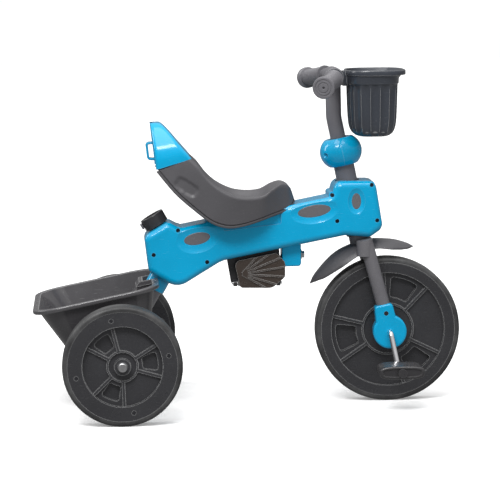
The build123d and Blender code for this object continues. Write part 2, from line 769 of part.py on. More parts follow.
def make_rear_screws():
    screws = []
    for step in range(4):
        place = Rot(0, 0, 13 + step * 90) * Pos(80, 0, 0)
        screw = place * (Pos(0, 0, -18) * cyl(1.7, 38.5) + Pos(0, 0, 20.5) * cyl(3.4, 1.2))
        screws.append(rear_place(screw))
    return screws


# ---------------------------------------------------------------- cranks and pedals

def make_crank_axle():
    lean_x = CRANK_R * sin(radians(CRANK_LEAN))
    lean_z = CRANK_R * cos(radians(CRANK_LEAN))
    path = FilletPolyline((FRONT_X + lean_x, -167, FRONT_R - lean_z),
                          (FRONT_X + lean_x, -91, FRONT_R - lean_z),
                          (FRONT_X, -69, FRONT_R),
                          (FRONT_X, 69, FRONT_R),
                          (FRONT_X - lean_x, 91, FRONT_R + lean_z),
                          (FRONT_X - lean_x, 167, FRONT_R + lean_z), radius=9)
    return swept(path, ROD_R)


def make_pedal(side):
    lean_x = CRANK_R * sin(radians(CRANK_LEAN)) * -side
    lean_z = CRANK_R * cos(radians(CRANK_LEAN)) * side
    frame = RectangleRounded(78, PEDAL_WIDE, 12) - Pos(21, 0) * RectangleRounded(20, 44, 4)
    frame = frame - Pos(-21, 0) * RectangleRounded(20, 44, 4)
    block = extrude(frame, 10, both=True)
    for x in (-36, 36):
        for step in range(5):
            block = block + Pos(x, -22 + step * 11, 0) * Box(4, 4, 23)
    block = block + Rot(90, 0, 0) * Cylinder(9, PEDAL_WIDE)
    block = block - Rot(90, 0, 0) * Cylinder(ROD_R + RUN_GAP, 90)
    cap = Cylinder(7.5, 7) - Pos(0, 0, side * 2) * Cylinder(ROD_R, 7)
    cap = Rot(90, 0, 0) * Pos(0, 0, -side * 35) * cap
    place = Pos(FRONT_X + lean_x, side * PEDAL_Y, FRONT_R + lean_z)
    return place * block, place * cap


# ---------------------------------------------------------------- write every node

def write_frame():
    left, right, panel = make_shell()
    save("frame_shell_left", left)
    save("frame_shell_right", right)
    save("seat_rail", make_seat_rail(panel))
    save("shell_screws", *make_shell_screws())
    save("window_inlays", *make_windows())
    save("block_bolt", make_block_bolt())
    save("main_tube", make_main_tube())
    save("head_tube", make_head_tube())
    save("head_bushes", *make_head_bushes())
    save("handle_socket", make_handle_socket())
    save("socket_clip", make_socket_clip())
    save("tail_sleeve", make_tail_sleeve())
    save("axle_carrier", make_axle_carrier())
    save("rear_axle", make_rear_axle())
    save("axle_nuts", *make_axle_nuts())
    save("axle_spacers", *make_axle_spacers())
    save("rear_bucket", make_rear_bucket())
    save("bucket_clips", *make_bucket_clips())


def write_footrest():
    save("footrest_bracket", make_footrest_bracket())
    save("footrest_pins", *make_footrest_pins())
    flap = make_footrest_right()
    save("footrest_right", flap)
    save("footrest_left", mirror(flap, about=Plane.XZ))


def write_seat():
    save("seat_shell", make_seat_shell())
    save("seat_back", make_seat_back())
    save("seat_loop", make_seat_loop())
    save("seat_slider", make_seat_slider())


def write_steering():
    save("steerer", make_steerer())
    save("stem_sleeve", make_stem_sleeve())
    front, rear, bolts = make_collar()
    save("collar_front", front)
    save("collar_rear", rear)
    save("collar_bolts", *bolts)
    stem, cap = make_bar_stem()
    save("bar_stem", stem)
    save("bar_cap", cap)
    save("handlebar", make_handlebar())
    grip = make_grip()
    save("grip_right", grip)
    save("grip_left", mirror(grip, about=Plane.XZ))
    save("basket", make_basket())
    save("basket_hooks", *make_basket_hook())
    save("fork_crown", make_fork_crown())
    leg = make_leg_right()
    save("fork_leg_right", leg)
    save("fork_leg_left", mirror(leg, about=Plane.XZ))
    save("mudguard", make_mudguard())
    cover = make_hub_cover_right()
    save("hub_cover_right", cover)
    save("hub_cover_left", mirror(cover, about=Plane.XZ))
    save("hub_cover_screws", *make_hub_cover_screws())


def write_wheels():
    disc = front_place(wheel_half(118, 100, 23, 12, 43, 34.8, ROD_R, 56, 92, 24, 70))
    save("front_discs", *both_sides(disc))
    save("front_tyre", front_place(tyre(FRONT_R, 118, 22, 6)))
    save("crank_axle", make_crank_axle())
    for name, side in (("right", -1), ("left", 1)):
        pedal, cap = make_pedal(side)
        save(f"pedal_{name}", pedal)
        save(f"pedal_cap_{name}", cap)
    outer = rear_place(make_rear_half())
    inner = mirror(outer, about=Plane.XZ.offset(REAR_Y))
    band = rear_place(tyre(REAR_R, 93, 22.5, 5))
    bushes = [rear_place(Pos(0, 0, z) * tube(8, AXLE_R + RUN_GAP, 12)) for z in (12, -24)]
    screws = make_rear_screws()
    save("rear_discs_right", outer, inner)
    save("rear_tyre_right", band)
    save("rear_bushes_right", *bushes)
    save("rear_screws_right", *screws)
    save("rear_discs_left", mirror(outer, about=Plane.XZ), mirror(inner, about=Plane.XZ))
    save("rear_tyre_left", mirror(band, about=Plane.XZ))
    save("rear_bushes_left", *[mirror(bush, about=Plane.XZ) for bush in bushes])
    save("rear_screws_left", *[mirror(screw, about=Plane.XZ) for screw in screws])


write_frame()
write_footrest()
write_seat()
write_steering()
write_wheels()
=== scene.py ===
"""Children's tricycle: finishes, moulded detail, floor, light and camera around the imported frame."""
import json
from math import cos, floor, hypot, pi, radians, sin

import bmesh
import bpy
from mathutils import Matrix, Vector


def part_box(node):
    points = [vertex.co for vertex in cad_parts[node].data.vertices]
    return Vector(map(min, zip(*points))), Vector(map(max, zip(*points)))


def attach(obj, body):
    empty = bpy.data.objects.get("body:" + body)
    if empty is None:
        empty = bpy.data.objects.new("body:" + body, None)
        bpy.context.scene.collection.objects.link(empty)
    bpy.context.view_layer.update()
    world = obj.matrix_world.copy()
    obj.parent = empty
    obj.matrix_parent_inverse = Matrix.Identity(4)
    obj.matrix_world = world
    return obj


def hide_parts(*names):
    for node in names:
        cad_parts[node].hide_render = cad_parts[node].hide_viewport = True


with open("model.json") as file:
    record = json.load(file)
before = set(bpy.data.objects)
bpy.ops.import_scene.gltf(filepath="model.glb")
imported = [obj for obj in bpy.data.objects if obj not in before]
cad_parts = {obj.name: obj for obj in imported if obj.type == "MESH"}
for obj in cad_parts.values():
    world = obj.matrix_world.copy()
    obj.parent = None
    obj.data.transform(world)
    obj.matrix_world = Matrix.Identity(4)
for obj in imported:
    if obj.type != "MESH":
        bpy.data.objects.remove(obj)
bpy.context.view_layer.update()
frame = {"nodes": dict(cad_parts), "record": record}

MM = 0.001  # metres in a millimetre

# ------------------------------------------------------------------ colours (linear)
BLUE = (0.0, 0.315, 0.56)
GREY = (0.070, 0.068, 0.074)
MID_GREY = (0.115, 0.112, 0.122)
SLATE = (0.040, 0.045, 0.056)
BLACK = (0.030, 0.029, 0.031)
WHEEL = (0.030, 0.030, 0.033)
TREAD = (0.022, 0.022, 0.023)
FORK = (0.125, 0.122, 0.132)
SMOKE = (0.045, 0.034, 0.028)
TUB_GREY = (0.060, 0.058, 0.062)
BAR = (0.125, 0.122, 0.134)
ZINC = (0.56, 0.56, 0.57)
BRIGHT = (0.78, 0.78, 0.80)
BLACKENED = (0.09, 0.09, 0.10)
PAPER = ((0.90, 0.90, 0.90), (0.94, 0.94, 0.94))


# ------------------------------------------------------------------ materials

EDGE_SAMPLES = 4
EDGE_FULL = 0.86   # cosine between rounded and true normal at which an edge gets the full painted highlight


class Shader:
    """A principled shader with object coordinates and a few layers of procedural detail."""

    def __init__(self, name):
        self.mat = bpy.data.materials.new(name)
        self.mat.use_nodes = True
        self.nodes = self.mat.node_tree.nodes
        self.links = self.mat.node_tree.links
        self.bsdf = self.nodes["Principled BSDF"]
        self.coords = self.nodes.new("ShaderNodeTexCoord").outputs["Object"]
        self.normal = None

    def join(self, source, target):
        self.links.new(source, target)

    def stretched(self, scale, turn=(0, 0, 0)):
        node = self.nodes.new("ShaderNodeMapping")
        node.inputs["Scale"].default_value = scale
        node.inputs["Rotation"].default_value = turn
        self.join(self.coords, node.inputs["Vector"])
        return node.outputs["Vector"]

    def noise(self, scale, detail=3.0, rough=0.55, vector=None):
        node = self.nodes.new("ShaderNodeTexNoise")
        node.inputs["Scale"].default_value = scale
        node.inputs["Detail"].default_value = detail
        node.inputs["Roughness"].default_value = rough
        self.join(vector or self.coords, node.inputs["Vector"])
        return node.outputs["Fac"]

    def cells(self, scale):
        node = self.nodes.new("ShaderNodeTexVoronoi")
        node.inputs["Scale"].default_value = scale
        self.join(self.coords, node.inputs["Vector"])
        return node.outputs["Distance"]

    def spread(self, value, low, high, to_low, to_high):
        node = self.nodes.new("ShaderNodeMapRange")
        node.inputs["From Min"].default_value = low
        node.inputs["From Max"].default_value = high
        node.inputs["To Min"].default_value = to_low
        node.inputs["To Max"].default_value = to_high
        self.join(value, node.inputs["Value"])
        return node.outputs["Result"]

    def maths(self, operation, a, b):
        node = self.nodes.new("ShaderNodeMath")
        node.operation = operation
        for socket, value in zip(node.inputs, (a, b)):
            if isinstance(value, (int, float)):
                socket.default_value = value
            else:
                self.join(value, socket)
        return node.outputs["Value"]

    def blend(self, fac, a, b):
        node = self.nodes.new("ShaderNodeMix")
        node.data_type = "RGBA"
        self.join(fac, node.inputs["Factor"])
        for socket, value in ((node.inputs["A"], a), (node.inputs["B"], b)):
            if isinstance(value, tuple):
                socket.default_value = (*value, 1.0)
            else:
                self.join(value, socket)
        return node.outputs["Result"]

    def edge(self, radius):
        """1 on sharp outside edges, falling to 0 within radius metres."""
        bevel = self.nodes.new("ShaderNodeBevel")
        bevel.samples = EDGE_SAMPLES
        bevel.inputs["Radius"].default_value = radius
        geometry = self.nodes.new("ShaderNodeNewGeometry")
        dot = self.nodes.new("ShaderNodeVectorMath")
        dot.operation = "DOT_PRODUCT"
        self.join(bevel.outputs["Normal"], dot.inputs[0])
        self.join(geometry.outputs["Normal"], dot.inputs[1])
        return self.spread(dot.outputs["Value"], 1.0, EDGE_FULL, 0.0, 1.0)

    def bump(self, height, depth, strength=1.0):
        node = self.nodes.new("ShaderNodeBump")
        node.inputs["Strength"].default_value = strength
        node.inputs["Distance"].default_value = depth
        self.join(height, node.inputs["Height"])
        if self.normal is not None:
            self.join(self.normal, node.inputs["Normal"])
        self.normal = node.outputs["Normal"]

    def done(self, colour, roughness, metallic=0.0, coat=0.0, coat_roughness=0.08):
        self.join(colour, self.bsdf.inputs["Base Color"])
        self.join(roughness, self.bsdf.inputs["Roughness"])
        self.bsdf.inputs["Metallic"].default_value = metallic
        self.bsdf.inputs["Coat Weight"].default_value = coat
        self.bsdf.inputs["Coat Roughness"].default_value = coat_roughness
        if self.normal is not None:
            self.join(self.normal, self.bsdf.inputs["Normal"])
        return self.mat


def tint(colour, factor):
    """The colour made darker or lighter by a factor."""
    return tuple(min(1.0, channel * factor) for channel in colour)


def pale(colour, amount):
    """The colour mixed with white."""
    return tuple(channel + (1.0 - channel) * amount for channel in colour)


def scratch_layer(s, amount):
    """Fine straight rub marks in two directions, 0 to amount."""
    one = s.noise(60, 2, 0.5, s.stretched((1, 14, 14), (0.3, 0.5, 0.9)))
    two = s.noise(70, 2, 0.5, s.stretched((16, 1, 12), (0.8, 0.2, 0.4)))
    marks = s.maths("MAXIMUM", s.spread(one, 0.66, 0.74, 0, 1), s.spread(two, 0.67, 0.75, 0, 1))
    return s.maths("MULTIPLY", marks, amount)


def moulded(name, colour, rough, grain, depth, coat=0.0, edge_highlight=0.10, edge_radius=0.0012, specular=0.5):
    """Injection-moulded plastic: spark-eroded grain, flow marks, rub marks, and a painted highlight
    lightening sharp edges.

    grain is the fineness of the surface grain, depth its height in metres.
    """
    s = Shader(name)
    flow = s.noise(7, 4, 0.6)
    body = s.blend(s.spread(flow, 0.3, 0.7, 0, 1), tint(colour, 0.90), tint(colour, 1.10))
    specks = s.spread(s.noise(420, 2, 0.5), 0.62, 0.75, 0.0, 0.35)
    body = s.blend(specks, body, pale(colour, 0.05))
    # Sharp edges are mixed towards white: a painted highlight.
    body = s.blend(s.maths("MULTIPLY", s.edge(edge_radius), edge_highlight * 4), body, pale(colour, edge_highlight))
    marks = scratch_layer(s, 0.30)
    body = s.blend(s.maths("MULTIPLY", marks, 0.35), body, pale(colour, 0.16))
    cloudy = s.spread(s.noise(28, 5, 0.6), 0.3, 0.7, rough - 0.05, rough + 0.06)
    s.bump(s.noise(grain, 3, 0.6), depth)
    s.bump(s.noise(24, 2, 0.5), 0.00018, 0.35)
    s.bsdf.inputs["Specular IOR Level"].default_value = specular
    return s.done(body, s.maths("ADD", cloudy, s.maths("MULTIPLY", marks, 0.5)), coat=coat)


def rubber(name, colour):
    """Tyre tread: fine pitted grain with dust lying on it, and a painted highlight on its edges."""
    s = Shader(name)
    dust = s.spread(s.noise(16, 5, 0.65), 0.42, 0.72, 0.0, 0.55)
    body = s.blend(dust, colour, pale(colour, 0.10))
    # Tread edges are mixed towards white: a painted highlight.
    body = s.blend(s.maths("MULTIPLY", s.edge(0.0015), 0.4), body, pale(colour, 0.12))
    s.bump(s.noise(650, 3, 0.65), 0.00010)
    s.bump(s.cells(330), 0.00008, 0.5)
    return s.done(body, s.spread(s.noise(40, 4, 0.6), 0.3, 0.7, 0.50, 0.68))


def painted(name, colour, rough):
    """Powder coat: orange peel, a little dust, edges rubbed thin."""
    s = Shader(name)
    cloud = s.spread(s.noise(12, 4, 0.6), 0.3, 0.7, 0, 1)
    body = s.blend(cloud, tint(colour, 0.92), tint(colour, 1.08))
    flakes = s.spread(s.noise(900, 1, 0.4), 0.62, 0.70, 0.0, 0.25)
    body = s.blend(flakes, body, pale(colour, 0.25))
    marks = scratch_layer(s, 0.3)
    body = s.blend(s.maths("MULTIPLY", marks, 0.3), body, pale(colour, 0.2))
    s.bump(s.noise(260, 2, 0.5), 0.00008)
    gloss = s.spread(s.noise(30, 4, 0.6), 0.3, 0.7, rough - 0.05, rough + 0.07)
    return s.done(body, gloss, coat=0.2)


def metal(name, colour, rough, stretch=(1, 1, 1)):
    """Bare or plated metal: brushed grain and cloudy tarnish."""
    s = Shader(name)
    tarnish = s.spread(s.noise(22, 5, 0.6), 0.45, 0.8, 0.0, 0.5)
    body = s.blend(tarnish, colour, tint(colour, 0.72))
    brushed = s.noise(420, 3, 0.6, s.stretched(stretch))
    s.bump(brushed, 0.00003, 0.6)
    gloss = s.spread(brushed, 0.3, 0.7, max(0.03, rough - 0.05), rough + 0.08)
    return s.done(body, gloss, metallic=1.0)


# The edge amount of each moulded finish sets how strongly its sharp edges get a painted highlight.
MATERIALS = {
    "shell_blue": moulded("gloss blue plastic", BLUE, 0.17, 240, 0.00002, coat=0.35, edge_highlight=0.16,
                          specular=0.3),
    "grey_plastic": moulded("satin grey plastic", GREY, 0.42, 850, 0.00012, edge_highlight=0.07),
    "black_plastic": moulded("satin black plastic", BLACK, 0.28, 900, 0.00006, edge_highlight=0.12),
    "slate_plastic": moulded("slate plastic", SLATE, 0.22, 800, 0.00005, edge_highlight=0.24,
                             edge_radius=0.0018),
    "inlay_grey": moulded("inlay grey plastic", MID_GREY, 0.25, 500, 0.00003, edge_highlight=0.06),
    "wheel_black": moulded("wheel plastic", WHEEL, 0.27, 700, 0.00008, edge_highlight=0.26,
                           edge_radius=0.0016),
    "tyre_black": rubber("tread", TREAD),
    "grey_paint": painted("grey powder coat", FORK, 0.36),
    "black_paint": painted("black powder coat", BLACK, 0.40),
    "steel": metal("zinc plate", ZINC, 0.33, (1, 6, 1)),
    "chrome": metal("chrome", BRIGHT, 0.10),
    "screw_dark": metal("blackened steel", BLACKENED, 0.36),
}

# These moulded finishes also lighten their sharp edges as a painted highlight.
SMOKY = moulded("smoky foot plate plastic", SMOKE, 0.26, 700, 0.00008, edge_highlight=0.30)
TUB = moulded("dark tub plastic", TUB_GREY, 0.20, 800, 0.00005, edge_highlight=0.26, edge_radius=0.0025)
BAR_GREY = moulded("bar grey plastic", BAR, 0.36, 850, 0.00010, edge_highlight=0.10)
# Pieces whose own finish differs from that of their material slot
NODE_FINISH = {
    "footrest_right": SMOKY, "footrest_left": SMOKY, "rear_bucket": TUB, "bar_stem": BAR_GREY,
    "handlebar": BAR_GREY, "bar_cap": BAR_GREY, "stem_sleeve": BAR_GREY,
}


def finish_nodes():
    slot_of = {entry["node"]: entry["material_slot"] for entry in frame["record"]["subparts"]}
    for name, obj in frame["nodes"].items():
        material = NODE_FINISH.get(name, MATERIALS[slot_of[name]])
        if not obj.data.materials:
            obj.data.materials.append(material)
        for index in range(len(obj.data.materials)):
            obj.data.materials[index] = material


# ------------------------------------------------------------------ mesh helpers (millimetres in)

OUTLINE_STEPS = 720


def mesh_object(name, bm, slot, body, smooth_angle=40):
    bmesh.ops.recalc_face_normals(bm, faces=bm.faces)
    data = bpy.data.meshes.new(name)
    bm.to_mesh(data)
    bm.free()
    for polygon in data.polygons:
        polygon.use_smooth = True
    data.materials.append(MATERIALS[slot])
    obj = bpy.data.objects.new(name, data)
    bpy.context.scene.collection.objects.link(obj)
    data.set_sharp_from_angle(angle=radians(smooth_angle))
    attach(obj, body)
    return obj


def loft_rings(bm, rings):
    """Closed rings of (x, y, z) in millimetres joined in order and capped at both ends."""
    rows = [[bm.verts.new(Vector(point) * MM) for point in ring] for ring in rings]
    count = len(rows[0])
    for low, high in zip(rows, rows[1:]):
        for i in range(count):
            j = (i + 1) % count
            bm.faces.new((low[i], low[j], high[j], high[i]))
    bm.faces.new(rows[0])
    bm.faces.new(list(reversed(rows[-1])))


def smooth_curve(points, count):
    """Catmull-Rom through points of any dimension, evenly spaced in parameter."""
    result = []
    last = len(points) - 1
    for step in range(count):
        t = step / (count - 1) * last
        i = min(int(floor(t)), last - 1)
        f = t - i
        p0 = points[max(i - 1, 0)]
        p1 = points[i]
        p2 = points[i + 1]
        p3 = points[min(i + 2, last)]
        value = []
        for a, b, c, d in zip(p0, p1, p2, p3):
            value.append(0.5 * (2 * b + (c - a) * f + (2 * a - 5 * b + 4 * c - d) * f * f
                                + (3 * b - a - 3 * c + d) * f ** 3))
        result.append(tuple(value))
    return result


def superellipse(cx, half_x, half_y, power, count):
    """Evenly spaced (x, y) points round a rounded rectangle, with outward normals."""
    fine = []
    for k in range(OUTLINE_STEPS):
        a = 2 * pi * k / OUTLINE_STEPS
        c, s = cos(a), sin(a)
        x = half_x * (abs(c) ** (2 / power)) * (1 if c >= 0 else -1)
        y = half_y * (abs(s) ** (2 / power)) * (1 if s >= 0 else -1)
        fine.append((x, y))
    lengths = [0.0]
    for k in range(OUTLINE_STEPS):
        x0, y0 = fine[k]
        x1, y1 = fine[(k + 1) % OUTLINE_STEPS]
        lengths.append(lengths[-1] + hypot(x1 - x0, y1 - y0))
    points = []
    k = 0
    for i in range(count):
        goal = lengths[-1] * i / count
        while lengths[k + 1] < goal:
            k += 1
        x0, y0 = fine[k % OUTLINE_STEPS]
        x1, y1 = fine[(k + 1) % OUTLINE_STEPS]
        f = (goal - lengths[k]) / max(lengths[k + 1] - lengths[k], 1e-9)
        x, y = x0 + (x1 - x0) * f, y0 + (y1 - y0) * f
        length = hypot(x1 - x0, y1 - y0)
        points.append((cx + x, y, (y1 - y0) / length, -(x1 - x0) / length))
    return points


# ------------------------------------------------------------------ basket

BASKET_FLUTES = 22
BASKET_STEPS = 8      # points round each flute
BASKET_POWER = 3.2    # squareness of the outline
BRIDGE_SIZE = (0.010, 0.030, 0.026)
BRIDGE_PLACE = (0.1775, 0, 0.569)
# Height, centre, half length, half width and flute depth, from the rim down and from the floor up
BASKET_OUTSIDE = [
    (584.0, 229.3, 50.0, 72.5, 0), (583.8, 229.3, 51.6, 74.3, 0), (582.0, 229.3, 52.3, 75.0, 0),
    (577.0, 229.3, 52.3, 75.0, 0), (575.6, 229.0, 51.6, 74.4, 0), (575.2, 226.5, 47.8, 71.4, 0),
    (570.0, 224.6, 45.6, 69.6, 0), (561.5, 224.4, 45.2, 69.0, 0), (560.2, 224.4, 44.6, 68.4, 0),
    (559.6, 224.2, 43.8, 67.6, 0.2), (557.0, 224.2, 43.6, 67.4, 3.0), (545.0, 224.2, 43.2, 66.8, 3.6),
    (520.0, 224.1, 42.4, 65.6, 3.6), (500.0, 224.1, 41.5, 64.4, 3.6), (488.0, 224.0, 40.2, 62.6, 3.4),
    (480.0, 224.0, 38.0, 60.0, 3.0), (474.0, 224.0, 34.6, 56.2, 1.6), (470.0, 224.0, 30.0, 51.0, 0.8),
    (468.4, 224.0, 25.0, 46.0, 0.2), (468.2, 224.0, 12.0, 24.0, 0),
]
BASKET_INSIDE = [
    (470.8, 224.0, 12.0, 24.0, 0), (471.0, 224.0, 28.0, 49.0, 0), (476.0, 224.0, 34.0, 56.0, 0.6),
    (486.0, 224.0, 37.0, 59.6, 1.6), (520.0, 224.1, 39.6, 62.8, 3.2), (556.0, 224.2, 40.8, 64.6, 2.6),
    (562.0, 224.4, 42.2, 66.0, 0), (574.0, 224.8, 43.0, 67.0, 0), (577.5, 226.5, 45.4, 69.0, 0),
    (580.0, 228.8, 48.0, 71.0, 0), (583.4, 229.3, 48.8, 71.6, 0),
]


def basket_ring(z, cx, half_x, half_y, flute):
    ring = []
    outline = superellipse(cx, half_x, half_y, BASKET_POWER, BASKET_FLUTES * BASKET_STEPS)
    for i, (x, y, nx, ny) in enumerate(outline):
        phase = (i % BASKET_STEPS) / BASKET_STEPS
        push = -flute * sin(pi * phase) ** 0.7
        ring.append((x + nx * push, y + ny * push, z))
    return ring


def build_basket():
    """Fluted tub with a rolled rim, and the bridge that carries it on the bar."""
    bm = bmesh.new()
    loft_rings(bm, [basket_ring(*station) for station in BASKET_INSIDE + BASKET_OUTSIDE])
    bridge = bmesh.ops.create_cube(bm, size=1.0)["verts"]
    bmesh.ops.scale(bm, verts=bridge, vec=BRIDGE_SIZE)
    bmesh.ops.translate(bm, verts=bridge, vec=BRIDGE_PLACE)
    basket = mesh_object("basket_tub", bm, "slate_plastic", "steering", 50)
    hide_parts("basket")


# ------------------------------------------------------------------ seat

# From nose to back: top edge (x, z), lower edge (x, z), half width, depth of the dish
SEAT_STATIONS = [
    (78, 380, 86, 356, 28, 2), (72, 385.5, 79, 345, 37, 3), (61, 388, 65, 338.5, 46, 4),
    (46, 382, 44, 332.5, 60, 8), (28, 371.5, 22, 326, 73, 14), (4, 369, -6, 318.5, 80, 17),
    (-22, 373, -34, 315.5, 82, 18), (-48, 386, -62, 324, 80, 17), (-67, 403, -94, 348, 76, 15),
    (-83, 424, -126, 377, 72, 12), (-96, 436.5, -157, 415, 69, 8),
]
# From the middle outwards: share of the half width, share of the dish, added depth
SEAT_DISH = [
    (0.0, 1.0, 0), (0.16, 1.0, 0), (0.30, 0.99, 0), (0.42, 0.97, 0), (0.52, 0.93, 0), (0.61, 0.85, 0),
    (0.68, 0.74, 0), (0.74, 0.60, 0), (0.79, 0.45, 0), (0.83, 0.30, 0), (0.865, 0.17, 0),
    (0.895, 0.07, 0.3), (0.92, 0, 0), (0.945, 0, 0), (0.97, 0, 0.7), (0.988, 0, 2.2),
]
# Round the ledge at the lower edge: inset from the half width, fall below the side wall
SEAT_LEDGE = [(4.4, 0.5), (4.6, 1.8), (1.6, 2.6), (1.2, 4.6), (2.0, 6.4), (3.6, 7.0), (6.4, 6.0)]
SEAT_ROWS = 141
SIDE_POINTS = 20
SIDE_START = 5.2      # where the flat side wall begins below the rounded top edge
SIDE_LEAN = 1.6
SEAT_WALL = 9
LEDGE = 7.0
RECESS = (-105.0, 388.0, 19.0, 9.5, -33.0)   # centre x and z, half length, half width, tilt
RECESS_DEEP = 2.6
RECESS_POWER = 5
RECESS_OUTER = 1.12   # where the slope down into the recess starts, in half widths
RECESS_SLOPE = 0.16


def recess_depth(x, z):
    """Depth of the rounded panel sunk in each side of the seat, behind the hips."""
    cx, cz, half_long, half_wide, angle = RECESS
    c, s = cos(radians(angle)), sin(radians(angle))
    u = abs((x - cx) * c + (z - cz) * s) / half_long
    v = abs(-(x - cx) * s + (z - cz) * c) / half_wide
    r = (u ** RECESS_POWER + v ** RECESS_POWER) ** (1 / RECESS_POWER)
    return RECESS_DEEP * min(1.0, max(0.0, (RECESS_OUTER - r) / RECESS_SLOPE))


def seat_section(tx, tz, lx, lz, half, dip):
    """One ring across the seat: dished top, side wall with its recess, ledge, hollow underside."""
    deep = hypot(lx - tx, lz - tz)
    dx, dz = (lx - tx) / deep, (lz - tz) / deep
    inner = max(half - SEAT_WALL, 10)
    profile = [(across * half, dip * share + added) for across, share, added in SEAT_DISH]
    profile.append((half - 0.2, 4.4))
    wall = max(deep - LEDGE - SIDE_START, 2.0)
    for k in range(SIDE_POINTS + 1):
        s = SIDE_START + wall * k / SIDE_POINTS
        sink = recess_depth(tx + dx * s, tz + dz * s)
        profile.append((half - SIDE_LEAN * k / SIDE_POINTS - sink, s))
    ledge = SIDE_START + wall
    profile += [(half - inset, ledge + fall) for inset, fall in SEAT_LEDGE]
    profile += [
        (inner, deep * 0.60), (inner - 2, min(dip + 9, deep - 2.5)),
        (0.70 * half, min(dip + 6, deep - 2.2)), (0.30 * half, min(dip + 5, deep - 2)),
        (0.0, min(dip + 5, deep - 2)),
    ]
    ring = [(tx + dx * s, -y, tz + dz * s) for y, s in profile]
    ring += [(tx + dx * s, y, tz + dz * s) for y, s in reversed(profile[1:-1])]
    return ring


def build_seat():
    bm = bmesh.new()
    loft_rings(bm, [seat_section(*station) for station in smooth_curve(SEAT_STATIONS, SEAT_ROWS)])
    seat = mesh_object("seat_pan", bm, "grey_plastic", "seat", 42)
    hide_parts("seat_shell")


# ------------------------------------------------------------------ back rest

# From the seat up: front (x, z), rear (x, z), half width
BACK_STATIONS = [
    (-95, 436, -157, 418, 66), (-105, 448, -158.4, 436, 66), (-118, 463, -160.6, 455, 61),
    (-131, 479, -162.8, 472, 49), (-142, 491, -164.6, 487, 35), (-149, 496.6, -165.8, 496, 22),
]
BACK_ROWS = 31
BACK_ROUND = 7.0
BACK_HOLLOW = 5.0
HOLLOW_SLOPE = 4.0
BACK_DISH = 3.0
CORNER_STEPS = 8
CHEEK_STEPS = 8
FACE_STEPS = 24


def back_section(fx, fz, rx, rz, half):
    """Rounded box section: flat cheeks, a slightly dished front and a sunk rear panel."""
    long = hypot(rx - fx, rz - fz)
    radius = min(BACK_ROUND, long / 2 - 0.4, half - 0.4)
    reach = half - radius
    ring = []
    corners = ((radius, reach, 0), (long - radius, reach, 1),
               (long - radius, -reach, 2), (radius, -reach, 3))
    for u, y, quarter in corners:
        start = pi - quarter * pi / 2
        for k in range(CORNER_STEPS + 1):
            a = start - k * pi / (2 * CORNER_STEPS)
            ring.append((u + radius * cos(a), y + radius * sin(a)))
        if quarter in (1, 3):
            direction = -1 if quarter == 1 else 1
            for k in range(1, FACE_STEPS):
                place = direction * (-reach + 2 * reach * k / FACE_STEPS)
                sunk = BACK_HOLLOW * min(1.0, max(0.0, (reach - abs(place)) / HOLLOW_SLOPE))
                dish = BACK_DISH * (1 - (place / reach) ** 2)
                ring.append((long - sunk, place) if quarter == 1 else (dish, place))
        else:
            for k in range(1, CHEEK_STEPS):
                share = k / CHEEK_STEPS if quarter == 0 else 1 - k / CHEEK_STEPS
                ring.append((radius + (long - 2 * radius) * share, half if quarter == 0 else -half))
    dx, dz = (rx - fx) / long, (rz - fz) / long
    return [(fx + dx * u, y, fz + dz * u) for u, y in ring]


def build_back():
    rings = [back_section(*station) for station in smooth_curve(BACK_STATIONS, BACK_ROWS)]
    bm = bmesh.new()
    loft_rings(bm, rings)
    back = mesh_object("back_rest", bm, "shell_blue", "seat", 40)
    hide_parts("seat_back")


# ------------------------------------------------------------------ mudguard

# From the rear tip to the front one: x, z, half width, fall from the crown to the edge
GUARD_STATIONS = [
    (112, 208, 1.5, 0.5), (117, 218, 11, 8), (124, 228.5, 19, 15), (138, 245, 27, 21),
    (152, 258.5, 31.5, 24), (166, 268, 33.5, 23.5), (181, 275, 34, 21), (198, 281.5, 33, 18),
    (214, 285, 32, 16), (232, 285.8, 31, 14), (258, 284, 28, 15), (276, 279.5, 20, 12),
    (288, 275, 12, 7), (296, 271, 1.5, 0.5),
]
GUARD_ROWS = 79
GUARD_THICK = 2.6
GUARD_ACROSS = 28
GUARD_POWER = 2.3     # how late the section curves down towards its edges
BEAD = (1.3, 0.90, 0.07)    # height, place and half width of the bead, in half widths
CROWN = (0.9, 0.12)         # height and half width of the middle ridge
THIN_EDGE = 0.4


def guard_section(station, direction):
    """One ring across the leaf: its upper side out and its under side back."""
    x, z, half, drop = station
    nx, nz = -direction[1], direction[0]
    over, under = [], []
    for k in range(GUARD_ACROSS + 1):
        share = 2 * k / GUARD_ACROSS - 1
        bead = BEAD[0] * max(0.0, 1 - abs(abs(share) - BEAD[1]) / BEAD[2])
        crown = CROWN[0] * max(0.0, 1 - abs(share) / CROWN[1])
        fall = -drop * abs(share) ** GUARD_POWER
        thick = GUARD_THICK * min(1.0, half / 10) * (1 if abs(share) < 0.999 else THIN_EDGE)
        top = fall + (bead + crown) * min(1.0, half / 14)
        over.append((x + nx * top, share * half, z + nz * top))
        low = fall - thick
        under.append((x + nx * low, share * half * 0.985, z + nz * low))
    return over + list(reversed(under))


def build_mudguard():
    stations = smooth_curve(GUARD_STATIONS, GUARD_ROWS)
    rings = []
    for i, station in enumerate(stations):
        before, after = stations[max(i - 1, 0)], stations[min(i + 1, len(stations) - 1)]
        run = Vector((after[0] - before[0], after[1] - before[1])).normalized()
        rings.append(guard_section(station, run))
    bm = bmesh.new()
    loft_rings(bm, rings)
    guard = mesh_object("mudguard_leaf", bm, "grey_plastic", "steering", 50)
    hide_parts("mudguard")


# ------------------------------------------------------------------ grips

GRIP_IN = (150.0, 90.0, 571.5)
GRIP_OUT = (125.0, 182.0, 562.0)
GRIP_RIBS = 9
RIB_FIRST = 9
RIB_PITCH = 8.6
RIB_SHAPE = [(0, 14.0), (1.0, 14.9), (4.2, 14.9), (5.2, 14.0)]
